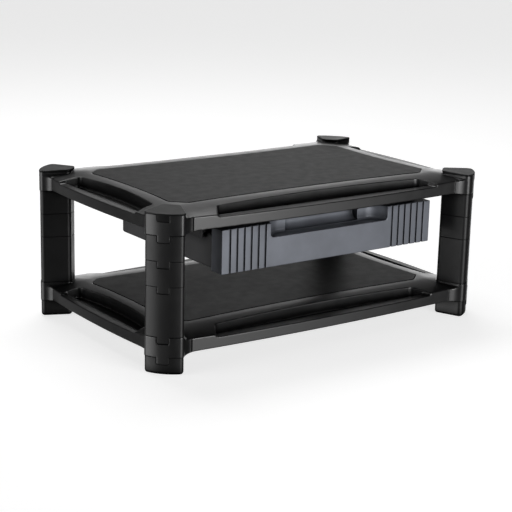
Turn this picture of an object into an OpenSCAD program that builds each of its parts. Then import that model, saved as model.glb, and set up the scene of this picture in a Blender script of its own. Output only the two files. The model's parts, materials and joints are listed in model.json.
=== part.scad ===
// Two-shelf monitor riser stand with a drawer that slides under the upper shelf.
// Millimetres. The origin is on the floor at the centre of the four feet,
// X is the width, the drawer opens towards -Y, and Z is up.

/* [Stand] */
// Distance between the left and right columns, centre to centre
column_span_x = 380; // [372:1:400]
// Distance between the front and rear columns, centre to centre
column_span_y = 222.6; // [220:0.2:240]
// Height of a foot below the lower shelf
foot_h = 18.4; // [14:0.2:30]
// Height of the tall spacer on the lower shelf
long_spacer_h = 52.6; // [44:0.2:70]
// Height of each of the two short spacers above it
short_spacer_h = 26.4; // [24:0.2:40]
// Height of the socket that each shelf has at its corners
boss_h = 21.4; // [21.4:0.2:26]

/* [Column section] */
// Wall of the hollow column parts
column_wall = 2.4; // [2:0.1:2.6]
// How far a shelf socket stands proud of the spacers
boss_proud = 0.6; // [0.2:0.1:1]
// Width of the locking tab on the outer face
tab_w = 12.8; // [10:0.2:15]
// How far the locking tab hangs below its part
tab_h = 7; // [5:0.5:8]

/* [Shelf] */
// Thickness of the deck plate
deck_t = 3.4; // [2.6:0.2:5]
// Thickness of a mat
mat_t = 1.2; // [1:0.2:2]
// Width of the opening from the deck edge to the front and rear rails, at its ends
pocket_w_y = 13; // [10:0.5:15]
// Width of the opening from the deck edge to the side rails, at its ends
pocket_w_x = 16.5; // [12:0.5:17.5]

/* [Drawer] */
// Width of the drawer front
drawer_w = 280.4; // [276:0.4:284]
// Height of the drawer front
drawer_h = 46.9; // [42:0.1:48]
// Depth of the whole drawer, front face to rear wall
drawer_depth = 206.6; // [180:0.2:216]
// Number of grooves at each end of the drawer front
groove_count = 6; // [3:1:6]
// How far the drawer pulls out
drawer_travel = 145; // [120:5:145]

/* [Hidden] */
$fn = 64;
BIG_FN = 360;

// Levels, from the floor up
lower_boss_z = foot_h;
long_z = lower_boss_z + boss_h;
middle_z = long_z + long_spacer_h;
top_z = middle_z + short_spacer_h;
upper_boss_z = top_z + short_spacer_h;
cap_z = upper_boss_z + boss_h;

// Levels inside one shelf, above the bottom of its corner sockets
rail_bottom = 2;
rail_top = 13.4;
rail_skin = 2;
pocket_floor_top = 7;
pocket_floor_t = 2;
deck_top = 21.4;
mat_bottom = deck_top - 1;
rib_depth = 7;
rib_t = 1.8;

// Column section: o runs outwards along the diagonal, p across it
OUTER_CORNER = [18.3, 15.7];
OUTER_R = 4.5;
INNER_CORNER = [-6.8, 7];
INNER_R = 3;
BULGE_R = 47.1;
BULGE_O = 25.8 - BULGE_R;
flank_dir = OUTER_CORNER - INNER_CORNER;
flank_normal = atan2(flank_dir[1], flank_dir[0])
    + acos((INNER_R - OUTER_R) / norm(flank_dir));
bulge_angle = atan2(OUTER_CORNER[1], OUTER_CORNER[0] - BULGE_O);

// Joint between one column part and the next
plug_gap = 0.2;
plug_h = 8;
plug_floor = 3;
tab_gap = 0.2;
tab_r = 1.4;
cap_proud = 0.8;
cap_h = 3;
cap_rim_h = 1.3;

// Rails and deck
rail_bow_y = 5.2;
rail_half_y = 139.2;
rail_bow_at_x = 172;
rail_bow_x = 3;
rail_half_x = 214.8;
rail_bow_at_y = 90;
bow_r_y = bow_radius(rail_bow_at_x, rail_bow_y);
bow_r_x = bow_radius(rail_bow_at_y, rail_bow_x);
deck_edge_x = 188.5;
deck_edge_y = 114;
pocket_half_x = 135;
pocket_half_y = 77;
pocket_bow_y = 6;
pocket_bow_x = 7;
pocket_flare_y = 7.5;
pocket_flare_x = 3;
pocket_back = 12;
ramp_drop = 6.6;
ramp_run_y = 25;
ramp_run_x = 24;
cavity_half_x = 178;
cavity_half_y = 103;
blend_x = 16;
blend_over = 0.3;
rail_wall = 2.4;
corner_cut = 22;
channel_half_x = 160;
channel_half_y = 92;
under_half_x = 130;
under_half_y = 76;
under_y = [108.2, 124.7];
under_x = [182, 203];
tall = 30;

// Mat outline
mat_corner = [172.4, 80.3];
mat_cut = [156.3, 95];
mat_bow_x = 4.4;
mat_bow_y = 5.3;
mat_overrun = 5;
mat_gap = 0.3;

// Drawer
drawer_bottom = upper_boss_z - 48.9;
front_top = drawer_bottom + drawer_h;
front_y = -132.6;
front_t = 19.3;
front_skin = 2.4;
groove_pitch = 8.9;
groove_w = 2.2;
groove_d = 1.8;
groove_first = drawer_w / 2 - 10.2;
recess_half = 79;
recess_flat_half = 59;
recess_depth = 16.6;
recess_h = 15.2;
recess_corner_r = 3.5;
scoop_half = 49;
scoop_r = 9;
tray_half = drawer_w / 2 - 1.7;
tray_front_y = front_y + front_t;
tray_rear_y = front_y + drawer_depth;
tray_bottom = drawer_bottom + 1.4;
tray_top = drawer_bottom + 37.7;
tray_wall = 2;
flange_w = 4;
flange_t = 2;
flange_gap = 0.4;
stop_len = 4;
runner_front_y = -102.4;
runner_rear_y = tray_rear_y + 2;
runner_t = 2;
runner_top_z = upper_boss_z + 5;
runner_flange_w = 16;
runner_lip = 3.4;
runner_x = tray_half + flange_w + flange_gap;
channel_h = 5.6;
channel_z = tray_top - flange_t - 0.4;
screw_ys = [-68, 0, 68];
screw_x = runner_x + runner_t + runner_flange_w / 2;
pilot_r = 1.45;
shank_r = 1.4;
screw_boss_r = 4;
screw_head_r = 3.2;
screw_head_h = 2;
screw_len = 10;
front_screw_xs = [-110, 0, 110];
front_screw_z = drawer_bottom + 14;
pad_o = 6;
pad_r = 8;
pad_t = 2;
foot_lift = 0.4;
foot_round = 1.2;

function bow_radius(half, sag) = (half * half + sag * sag) / (2 * sag);
function polar(centre, r, a) = centre + r * [cos(a), sin(a)];
function flip(v) = [v[0], -v[1]];

// ---- Column section -------------------------------------------------------

// Outer shape of a column part, inset by e on every side
module section(e = 0) {
    ra = OUTER_R - e;
    rb = INNER_R - e;
    upper = [
        polar(OUTER_CORNER, ra, bulge_angle),
        polar(OUTER_CORNER, ra, flank_normal),
        polar(INNER_CORNER, rb, flank_normal),
        polar(INNER_CORNER, rb, 180)
    ];
    beyond = polar(OUTER_CORNER, ra + 20, bulge_angle);
    polygon([for (v = upper) v, for (i = [3:-1:0]) flip(upper[i])]);
    for (s = [-1, 1]) {
        translate([OUTER_CORNER[0], s * OUTER_CORNER[1]]) circle(ra);
        translate([INNER_CORNER[0], s * INNER_CORNER[1]]) circle(rb);
    }
    intersection() {
        translate([BULGE_O, 0]) circle(BULGE_R - e, $fn = BIG_FN);
        polygon([[0, 0], upper[0], beyond, flip(beyond), flip(upper[0])]);
    }
}

// Hole through the middle of a plug
module core() polygon([[-5, -5], [17.5, -12], [17.5, 12], [-5, 5]]);

// Ring of wall on the outer face, where the tabs and notches are
module tab_slab(w, h, proud, r) {
    intersection() {
        translate([0, 0, -h - 1]) linear_extrude(h + 2) difference() {
            section(-proud);
            section(column_wall);
        }
        translate([10, 0, 0]) rotate([90, 0, 90]) linear_extrude(30) {
            translate([-w / 2, r - h]) square([w, h - r + 0.5]);
            translate([r - w / 2, -h]) square([w - 2 * r, h]);
            for (s = [-1, 1]) translate([s * (w / 2 - r), r - h]) circle(r);
        }
    }
}

// Tab that hangs from the bottom of a part whose outer face is proud
module tab(proud) {
    intersection() {
        tab_slab(tab_w, tab_h, proud, tab_r);
        translate([0, -tab_w, -tab_h - 1]) cube([40, 2 * tab_w, tab_h + 1]);
    }
}

// Space that the tab of the part above needs in the top of a part
module notch() {
    tab_slab(tab_w + 2 * tab_gap, tab_h + tab_gap, 3, tab_r);
}

// Plug below a part, with the floor that carries it
module plug() {
    translate([0, 0, -plug_h]) linear_extrude(plug_h + 0.01) section(column_wall + plug_gap);
}

// Everything that is cut from a hollow part of height h
module hollow(h) {
    translate([0, 0, plug_floor]) linear_extrude(h) section(column_wall);
    translate([0, 0, -plug_h - 1]) linear_extrude(plug_h + plug_floor + 2) core();
    translate([0, 0, h]) notch();
}

module spacer(h) {
    difference() {
        union() {
            linear_extrude(h) section();
            plug();
            tab(0);
        }
        hollow(h);
    }
}

module foot() {
    difference() {
        union() {
            translate([0, 0, foot_lift + foot_round]) linear_extrude(foot_h - foot_lift - foot_round)
                section();
            translate([0, 0, foot_lift]) linear_extrude(foot_round) section(foot_round);
        }
        translate([0, 0, plug_h + 2]) linear_extrude(foot_h) section(column_wall);
        translate([0, 0, foot_h]) notch();
        translate([pad_o, 0, -1]) cylinder(r = pad_r + 0.1, h = pad_t + 1);
    }
}

module foot_pad() translate([pad_o, 0, 0]) cylinder(r = pad_r, h = pad_t);

// Cover on top of a column: it rises from its outer edge to a finger lip
module cap() {
    slope = atan((cap_h - cap_rim_h) / 35);
    difference() {
        union() {
            linear_extrude(cap_h) section(-cap_proud);
            plug();
            tab(cap_proud);
        }
        translate([26.6, -40, cap_rim_h]) rotate([0, slope, 0])
            translate([-80, 0, 0]) cube([120, 80, 20]);
        translate([-20, -8, -1]) cube([14, 16, 2.4]);
        translate([0, 0, -plug_h - 1]) linear_extrude(plug_h + 1) core();
    }
}

module at_column(sx, sy, z) {
    translate([sx * column_span_x / 2, sy * column_span_y / 2, z])
        rotate(atan2(sy, sx)) children();
}

module at_columns(z) {
    for (sx = [-1, 1]) for (sy = [-1, 1]) at_column(sx, sy, z) children();
}

// ---- Shelf ----------------------------------------------------------------

// Outer edge of the rails, inset by e, with its corners cut behind the sockets
module frame_outline(e = 0) {
    cut = rail_half_x + rail_half_y - corner_cut;
    intersection() {
        translate([0, bow_r_y - rail_half_y]) circle(bow_r_y - e, $fn = 720);
        translate([0, rail_half_y - bow_r_y]) circle(bow_r_y - e, $fn = 720);
        translate([bow_r_x - rail_half_x, 0]) circle(bow_r_x - e, $fn = 720);
        translate([rail_half_x - bow_r_x, 0]) circle(bow_r_x - e, $fn = 720);
        polygon([
            [cut, 0], [0, cut], [-cut, 0], [0, -cut]
        ]);
    }
}

// Concave blend in plan between the front or rear rail and a socket
module blend_2d() {
    boss = [column_span_x, column_span_y] / 2
        + (OUTER_CORNER[0] * [1, 1] + OUTER_CORNER[1] * [-1, 1]) / sqrt(2);
    start = [boss[0] - blend_x, 0];
    face = rail_half_y - rail_bow_y;
    dx = blend_x;
    d = boss[1] - face;
    r = OUTER_R + boss_proud;
    blend_r = (dx * dx + d * d - r * r) / (2 * (r + d));
    centre = [start[0], face + blend_r];
    difference() {
        polygon([
            [start[0], face - 5], [start[0], face],
            boss + r * (centre - boss) / norm(centre - boss), boss,
            [boss[0], face - 5]
        ]);
        translate(centre) circle(blend_r - blend_over, $fn = BIG_FN);
    }
}

// The same blend on a side rail
module blend_side_2d() {
    boss = [column_span_x, column_span_y] / 2
        + (OUTER_CORNER[0] * [1, 1] + OUTER_CORNER[1] * [1, -1]) / sqrt(2);
    face = rail_half_x - rail_bow_x - 1;
    dy = blend_x;
    d = boss[0] - face;
    r = OUTER_R + boss_proud;
    blend_r = (dy * dy + d * d - r * r) / (2 * (r + d));
    centre = [face + blend_r, boss[1] - dy];
    difference() {
        polygon([
            [face - 5, centre[1]], [face, centre[1]],
            boss + r * (centre - boss) / norm(centre - boss), boss,
            [face - 5, boss[1]]
        ]);
        translate(centre) circle(blend_r - blend_over, $fn = BIG_FN);
    }
}

// Pocket between the deck and the front or rear rail, on the +Y side
module pocket_y() {
    r = bow_radius(pocket_half_x, pocket_bow_y);
    grow = pocket_flare_y / pocket_w_y;
    intersection() {
        translate([0, deck_edge_y - pocket_bow_y + r]) circle(r, $fn = 720);
        polygon([
            [-pocket_half_x + pocket_back * grow, deck_edge_y - pocket_back],
            [pocket_half_x - pocket_back * grow, deck_edge_y - pocket_back],
            [pocket_half_x + pocket_flare_y, deck_edge_y + pocket_w_y],
            [-pocket_half_x - pocket_flare_y, deck_edge_y + pocket_w_y]
        ]);
    }
}

// Pocket between the deck and a side rail, on the +X side
module pocket_x() {
    r = bow_radius(pocket_half_y, pocket_bow_x);
    grow = pocket_flare_x / pocket_w_x;
    intersection() {
        translate([deck_edge_x - pocket_bow_x + r, 0]) circle(r, $fn = 720);
        polygon([
            [deck_edge_x - pocket_back, -pocket_half_y + pocket_back * grow],
            [deck_edge_x + pocket_w_x, -pocket_half_y - pocket_flare_x],
            [deck_edge_x + pocket_w_x, pocket_half_y + pocket_flare_x],
            [deck_edge_x - pocket_back, pocket_half_y - pocket_back * grow]
        ]);
    }
}

module both_y() for (s = [0, 1]) mirror([0, s, 0]) children();
module both_x() for (s = [0, 1]) mirror([s, 0, 0]) children();

// Body of the shelf before anything is cut: level inside, sloping to its rails
module shelf_blank() {
    h = deck_top - rail_bottom;
    slope_y = atan(ramp_drop / ramp_run_y);
    slope_x = atan(ramp_drop / ramp_run_x);
    difference() {
        translate([0, 0, rail_bottom]) linear_extrude(h) frame_outline();
        both_y() translate([-250, deck_edge_y + 1, deck_top])
            rotate([-slope_y, 0, 0]) cube([500, 60, 30]);
        both_x() translate([deck_edge_x + 1, -200, deck_top])
            rotate([0, slope_x, 0]) cube([60, 400, 30]);
    }
    both_x() both_y() translate([0, 0, rail_bottom])
        linear_extrude(rail_top - rail_bottom) {
            blend_2d();
            blend_side_2d();
        }
    at_columns(0) linear_extrude(boss_h) section(-boss_proud);
}

module rib_grid() {
    for (x = [-150:50:150])
        translate([x - rib_t / 2, -cavity_half_y, deck_top - deck_t - rib_depth])
            cube([rib_t, 2 * cavity_half_y, rib_depth]);
    for (y = [-68, 0, 68])
        translate([-cavity_half_x, y - rib_t / 2, deck_top - deck_t - rib_depth])
            cube([2 * cavity_half_x, rib_t, rib_depth]);
}

module shelf_cuts() {
    // Pockets, and the lower top of each rail beside its pocket
    both_y() {
        translate([0, 0, pocket_floor_top]) linear_extrude(tall) pocket_y();
        translate([-pocket_half_x - pocket_flare_y, deck_edge_y + pocket_w_y - 1, rail_top])
            cube([2 * (pocket_half_x + pocket_flare_y), tall, tall]);
    }
    both_x() {
        translate([0, 0, pocket_floor_top]) linear_extrude(tall) pocket_x();
        translate([deck_edge_x + pocket_w_x - 1, -pocket_half_y - pocket_flare_x, rail_top])
            cube([tall, 2 * (pocket_half_y + pocket_flare_x), tall]);
    }
    // Recess for the mat
    translate([0, 0, mat_bottom]) linear_extrude(10) mat_outline(0);
    // Hollow under the deck, between the ribs
    difference() {
        translate([-cavity_half_x, -cavity_half_y, rail_bottom - 1])
            cube([2 * cavity_half_x, 2 * cavity_half_y, deck_top - deck_t - rail_bottom + 1]);
        rib_grid();
    }
    // Channels under the rails
    translate([0, 0, rail_bottom - 1]) linear_extrude(rail_top - rail_skin - rail_bottom + 1) {
        both_y() intersection() {
            frame_outline(rail_wall);
            translate([-channel_half_x, deck_edge_y + pocket_w_y + 2])
                square([2 * channel_half_x, tall]);
        }
        both_x() intersection() {
            frame_outline(rail_wall);
            translate([deck_edge_x + pocket_w_x + 2, -channel_half_y])
                square([tall, 2 * channel_half_y]);
        }
    }
    // Spaces under the pocket floors
    under_h = pocket_floor_top - pocket_floor_t - rail_bottom + 1;
    both_y() translate([-under_half_x, under_y[0], rail_bottom - 1])
        cube([2 * under_half_x, under_y[1] - under_y[0], under_h]);
    both_x() translate([under_x[0], -under_half_y, rail_bottom - 1])
        cube([under_x[1] - under_x[0], 2 * under_half_y, under_h]);
    at_columns(0) hollow(boss_h);
}

// Posts under the deck that take the runner screws
module at_screws(z) both_x() for (y = screw_ys) translate([screw_x, y, z]) children();

// The lower shelf is the same moulding as the upper one, so it has the posts too
module shelf(z) {
    post_z = runner_top_z - upper_boss_z;
    post_top = deck_top - deck_t + 0.5;
    translate([0, 0, z]) difference() {
        union() {
            difference() {
                union() {
                    shelf_blank();
                    at_columns(0) {
                        plug();
                        tab(boss_proud);
                    }
                }
                shelf_cuts();
            }
            at_screws(post_z) cylinder(r = screw_boss_r, h = post_top - post_z);
        }
        at_screws(post_z - 1) cylinder(r = pilot_r, h = screw_len + 1);
    }
}

// Mat outline, inset by e: four chamfered corners joined by edges that curve inwards
module mat_outline(e) {
    rx = bow_radius(mat_corner[1], mat_bow_x);
    ry = bow_radius(mat_cut[0], mat_bow_y);
    // The chamfers run on past their ends, so that the curved edges cross them
    run = (mat_corner - mat_cut) / norm(mat_corner - mat_cut);
    inset = e * [-run[1], run[0]];
    a = mat_corner + mat_overrun * run - inset;
    b = mat_cut - mat_overrun * run - inset;
    difference() {
        polygon([
            for (q = [[1, 1], [-1, 1], [-1, -1], [1, -1]])
                for (v = q[0] * q[1] > 0 ? [a, b] : [b, a]) [q[0] * v[0], q[1] * v[1]]
        ]);
        both_x() translate([mat_corner[0] - mat_bow_x + rx, 0]) circle(rx + e, $fn = 720);
        both_y() translate([0, mat_cut[1] - mat_bow_y + ry]) circle(ry + e, $fn = 720);
    }
}

module mat(z) translate([0, 0, z + mat_bottom]) linear_extrude(mat_t) mat_outline(mat_gap);

// ---- Drawer ---------------------------------------------------------------

module slab_xz(x0, x1, y0, y1, z0, z1) {
    translate([x0, y0, z0]) cube([x1 - x0, y1 - y0, z1 - z0]);
}

// Hand recess in the drawer front, open at the top
module recess(back) {
    end_r = recess_half - recess_flat_half;
    z0 = front_top - recess_h;
    y1 = front_y + recess_depth + back;
    intersection() {
        translate([0, 0, z0 - back]) linear_extrude(recess_h + back + 10) {
            translate([-recess_flat_half - back, front_y - 5])
                square([2 * (recess_flat_half + back), recess_depth + back + 5]);
            for (s = [-1, 1]) intersection() {
                translate([s * recess_flat_half, y1 - end_r - back])
                    circle(end_r + back, $fn = 96);
                translate([-recess_half - back, front_y - 5])
                    square([2 * (recess_half + back), recess_depth + back + 5]);
            }
        }
        translate([0, 50, 0]) rotate([90, 0, 0]) linear_extrude(300) {
            w = recess_half + back;
            translate([-w, z0 - back + recess_corner_r]) square([2 * w, 40]);
            translate([recess_corner_r - w, z0 - back])
                square([2 * (w - recess_corner_r), 10]);
            for (s = [-1, 1])
                translate([s * (w - recess_corner_r), z0 - back + recess_corner_r])
                    circle(recess_corner_r);
        }
    }
}

// Finger scoop behind the recess
module scoop(back) {
    z0 = front_top - recess_h;
    y1 = front_y + recess_depth;
    intersection() {
        union() {
            translate([-scoop_half - back, y1, z0 + scoop_r]) rotate([0, 90, 0])
                cylinder(r = scoop_r + back, h = 2 * (scoop_half + back));
            translate([-scoop_half - back, y1 - 1, z0 + scoop_r])
                cube([2 * (scoop_half + back), scoop_r + back + 1, 30]);
        }
        translate([-scoop_half - back, y1 - 1, z0 - back])
            cube([2 * (scoop_half + back), 40, 60]);
    }
}

module drawer_front() color("dimgray") {
    w = drawer_w / 2;
    inner = w - front_skin;
    difference() {
        union() {
            difference() {
                slab_xz(-w, w, front_y, tray_front_y, drawer_bottom, front_top);
                slab_xz(-inner, inner, front_y + front_skin + groove_d, tray_front_y + 1,
                    drawer_bottom + front_skin, front_top - front_skin);
            }
            intersection() {
                recess(front_skin);
                slab_xz(-w, w, front_y, tray_front_y + 1, drawer_bottom, front_top);
            }
            intersection() {
                scoop(front_skin);
                slab_xz(-w, w, front_y, 0, drawer_bottom, front_top);
            }
            for (x = front_screw_xs)
                translate([x, tray_front_y, front_screw_z]) rotate([90, 0, 0])
                    cylinder(r = screw_boss_r, h = front_t - 1);
        }
        recess(0);
        scoop(0);
        for (s = [-1, 1]) for (i = [0:groove_count - 1])
            translate([s * (groove_first - i * groove_pitch) - groove_w / 2,
                front_y - 1, drawer_bottom - 1]) cube([groove_w, groove_d + 1, drawer_h + 2]);
        for (x = front_screw_xs)
            translate([x, tray_front_y + 1, front_screw_z]) rotate([90, 0, 0])
                cylinder(r = pilot_r, h = 13);
    }
}

module drawer_tray() color("#222326") {
    difference() {
        union() {
            slab_xz(-tray_half, tray_half, tray_front_y, tray_rear_y, tray_bottom, tray_top);
            for (s = [-1, 1]) {
                // Flange that hangs in the runner, and its stop lug
                slab_xz(min(s * (tray_half - 1), s * (tray_half + flange_w)),
                    max(s * (tray_half - 1), s * (tray_half + flange_w)),
                    runner_front_y + 6, tray_rear_y, tray_top - flange_t, tray_top);
                slab_xz(min(s * tray_half, s * (tray_half + flange_w)),
                    max(s * tray_half, s * (tray_half + flange_w)),
                    runner_front_y + stop_len + drawer_travel + 1,
                    runner_front_y + 2 * stop_len + drawer_travel + 1,
                    tray_top - 0.1, tray_top + channel_h - flange_t - 0.8);
            }
        }
        slab_xz(tray_wall - tray_half, tray_half - tray_wall,
            tray_front_y + tray_wall, tray_rear_y - tray_wall,
            tray_bottom + tray_wall, tray_top + 10);
        // The front wall is low in the middle, under the finger scoop
        slab_xz(-scoop_half - 6, scoop_half + 6, tray_front_y - 1, tray_front_y + 5,
            front_top - recess_h - 4.4, tray_top + 10);
        for (x = front_screw_xs)
            translate([x, tray_front_y + 5, front_screw_z]) rotate([90, 0, 0])
                cylinder(r = pilot_r + 0.3, h = 10);
    }
}

module screw(len) {
    cylinder(r = shank_r, h = len);
    difference() {
        translate([0, 0, -screw_head_h]) cylinder(r = screw_head_r, h = screw_head_h);
        for (a = [0, 90]) rotate(a)
            translate([-2, -0.4, -screw_head_h - 1]) cube([4, 0.8, 2]);
    }
}

module drawer_front_screws() color("gray") {
    for (x = front_screw_xs)
        translate([x, tray_front_y + tray_wall, front_screw_z]) rotate([90, 0, 0]) screw(screw_len);
}

// Runner under the upper shelf, on the +X side
module runner() {
    x0 = runner_x;
    x1 = runner_x + runner_t;
    lip_x = x0 - runner_lip;
    // Web
    slab_xz(x0, x1, runner_front_y, runner_rear_y, channel_z - runner_t, runner_top_z);
    // Lower lip, under the flange of the tray
    slab_xz(lip_x, x1, runner_front_y, runner_rear_y, channel_z - runner_t, channel_z);
    // Upper lip
    slab_xz(lip_x, x1, runner_front_y, runner_rear_y,
        channel_z + channel_h, channel_z + channel_h + runner_t);
    // Front stop for the lug, and the closed rear end
    slab_xz(lip_x, x1, runner_front_y, runner_front_y + stop_len,
        tray_top + 0.6, channel_z + channel_h + runner_t);
    slab_xz(lip_x, x1, runner_rear_y - 1.5, runner_rear_y,
        channel_z - runner_t, channel_z + channel_h + runner_t);
    // Flange that the screws hold
    difference() {
        slab_xz(x0, x1 + runner_flange_w, runner_front_y, runner_rear_y,
            runner_top_z - runner_t, runner_top_z);
        for (y = screw_ys) translate([screw_x, y, runner_top_z - 5])
            cylinder(r = pilot_r + 0.3, h = 10);
    }
}

module runner_screws() color("gray") {
    both_x() for (y = screw_ys)
        translate([screw_x, y, runner_top_z - runner_t]) screw(screw_len - 1);
}

// ---- Nodes ----------------------------------------------------------------

PLASTIC = "#1b1c1e";

module upper_shelf() color(PLASTIC) shelf(upper_boss_z);
module lower_shelf() color(PLASTIC) shelf(lower_boss_z);
module upper_mat() color("#2a2a2b") mat(upper_boss_z);
module lower_mat() color("#2a2a2b") mat(lower_boss_z);
module caps(sx, sy) color(PLASTIC) at_column(sx, sy, cap_z) cap();
module top_spacer(sx, sy) color(PLASTIC) at_column(sx, sy, top_z) spacer(short_spacer_h);
module middle_spacer(sx, sy) color(PLASTIC) at_column(sx, sy, middle_z) spacer(short_spacer_h);
module long_spacer(sx, sy) color(PLASTIC) at_column(sx, sy, long_z) spacer(long_spacer_h);
module feet(sx, sy) color(PLASTIC) at_column(sx, sy, 0) foot();
module foot_pads(sx, sy) color("#101010") at_column(sx, sy, 0) foot_pad();
module runners(s) color(PLASTIC) mirror([s < 0 ? 1 : 0, 0, 0]) runner();

upper_shelf();
lower_shelf();
upper_mat();
lower_mat();
caps(-1, -1);  // cap_front_left
caps(1, -1);  // cap_front_right
caps(-1, 1);  // cap_rear_left
caps(1, 1);  // cap_rear_right
top_spacer(-1, -1);  // top_spacer_front_left
top_spacer(1, -1);  // top_spacer_front_right
top_spacer(-1, 1);  // top_spacer_rear_left
top_spacer(1, 1);  // top_spacer_rear_right
middle_spacer(-1, -1);  // middle_spacer_front_left
middle_spacer(1, -1);  // middle_spacer_front_right
middle_spacer(-1, 1);  // middle_spacer_rear_left
middle_spacer(1, 1);  // middle_spacer_rear_right
long_spacer(-1, -1);  // long_spacer_front_left
long_spacer(1, -1);  // long_spacer_front_right
long_spacer(-1, 1);  // long_spacer_rear_left
long_spacer(1, 1);  // long_spacer_rear_right
feet(-1, -1);  // foot_front_left
feet(1, -1);  // foot_front_right
feet(-1, 1);  // foot_rear_left
feet(1, 1);  // foot_rear_right
foot_pads(-1, -1);  // foot_pad_front_left
foot_pads(1, -1);  // foot_pad_front_right
foot_pads(-1, 1);  // foot_pad_rear_left
foot_pads(1, 1);  // foot_pad_rear_right
runners(-1);  // runner_left
runners(1);  // runner_right
runner_screws();
drawer_tray();
drawer_front();
drawer_front_screws();
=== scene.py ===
import functools
import json
import math

import bpy
import numpy as np
from mathutils import Matrix, Vector


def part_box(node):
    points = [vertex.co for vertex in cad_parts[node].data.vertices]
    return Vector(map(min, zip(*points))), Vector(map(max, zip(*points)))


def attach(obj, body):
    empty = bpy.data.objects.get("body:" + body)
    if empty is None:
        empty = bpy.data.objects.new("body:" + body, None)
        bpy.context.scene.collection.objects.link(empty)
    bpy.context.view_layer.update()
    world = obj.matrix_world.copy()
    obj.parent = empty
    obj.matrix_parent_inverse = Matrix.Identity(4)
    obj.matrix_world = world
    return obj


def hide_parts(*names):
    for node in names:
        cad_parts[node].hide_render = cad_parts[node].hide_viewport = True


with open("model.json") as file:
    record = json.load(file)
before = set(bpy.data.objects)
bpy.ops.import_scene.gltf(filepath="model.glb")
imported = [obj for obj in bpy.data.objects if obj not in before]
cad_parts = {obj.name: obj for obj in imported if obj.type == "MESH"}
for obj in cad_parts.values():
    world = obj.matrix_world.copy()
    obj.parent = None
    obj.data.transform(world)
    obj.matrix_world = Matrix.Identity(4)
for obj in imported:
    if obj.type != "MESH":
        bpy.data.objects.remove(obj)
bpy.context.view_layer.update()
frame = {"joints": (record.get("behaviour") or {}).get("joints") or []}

MM = 0.001
SHELF_TRIANGLES = 170000
SQRT2 = math.sqrt(2.0)
CORNERS = (("front_left", -1, -1), ("front_right", 1, -1),
           ("rear_left", -1, 1), ("rear_right", 1, 1))
# Meshing: halvings of an edge that crosses the surface, how flat a direction has to be to be left
# out of a point's place, steps that pull a point to the surface, and the longest such step
HALVINGS, FLAT, PULLS, LONGEST_PULL = 7, 0.08, 3, 0.5
# How far inside a face its corner normals are read
NORMAL_INSET = 0.1


# ---- Distances ---------------------------------------------------------------------------

def both(a, b, r=0.0):
    """Inside both solids, with the edge where they meet rounded to r."""
    if r <= 0:
        return np.maximum(a, b)
    return np.minimum(np.maximum(a, b), -r) + np.hypot(np.maximum(a + r, 0), np.maximum(b + r, 0))


def either(a, b, r=0.0):
    """Inside either solid, with the corner where they meet filled to radius r."""
    if np.ndim(r) == 0 and r <= 0:
        return np.minimum(a, b)
    return np.maximum(np.minimum(a, b), r) - np.hypot(np.maximum(r - a, 0), np.maximum(r - b, 0))


def without(a, b, r=0.0):
    """Inside a but not b, with the edge of the cut rounded to r."""
    return both(a, -b, r)


def span(v, lo, hi):
    """Distance to the slab between lo and hi."""
    return np.abs(v - (lo + hi) / 2) - (hi - lo) / 2


def box2(x, y, x0, x1, y0, y1, r=0.0):
    return both(span(x, x0, x1), span(y, y0, y1), r)


def nearest(v, places):
    """Distance to the nearest of the places."""
    return functools.reduce(np.minimum, (np.abs(v - place) for place in places))


def line(x, y, a, b):
    """Distance to the line from a to b, negative on its left."""
    d = np.hypot(b[0] - a[0], b[1] - a[1])
    return ((x - a[0]) * (b[1] - a[1]) - (y - a[1]) * (b[0] - a[0])) / d


def bow_radius(half, sag):
    """Radius of an arc that is sag deep over a chord of twice half."""
    return (half * half + sag * sag) / (2 * sag)


# ---- Meshing -----------------------------------------------------------------------------

def lines(*spans):
    """Grid lines from (start, end, step) spans that follow each other."""
    out = []
    for start, end, step in spans:
        n = max(1, int(round((end - start) / step)))
        out += list(np.linspace(start, end, n, endpoint=False))
    return np.array(out + [spans[-1][1]])


def with_ribs(base, centres, half):
    """Adds lines at the middle and beside each thin rib, and drops those too near to them."""
    extra = np.array([c + d for c in centres for d in (-half - 1.0, 0.0, half + 1.0)])
    keep = [v for v in base if np.abs(extra - v).min() > half + 0.6 or np.abs(extra - v).min() == 0]
    return np.unique(np.concatenate([keep, extra]))


def gradient(sdf, p, h=0.02):
    g = np.empty_like(p)
    for a in range(3):
        up, down = p.copy(), p.copy()
        up[:, a] += h
        down[:, a] -= h
        g[:, a] = sdf(*up.T) - sdf(*down.T)
    return g / (2 * h)


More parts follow.
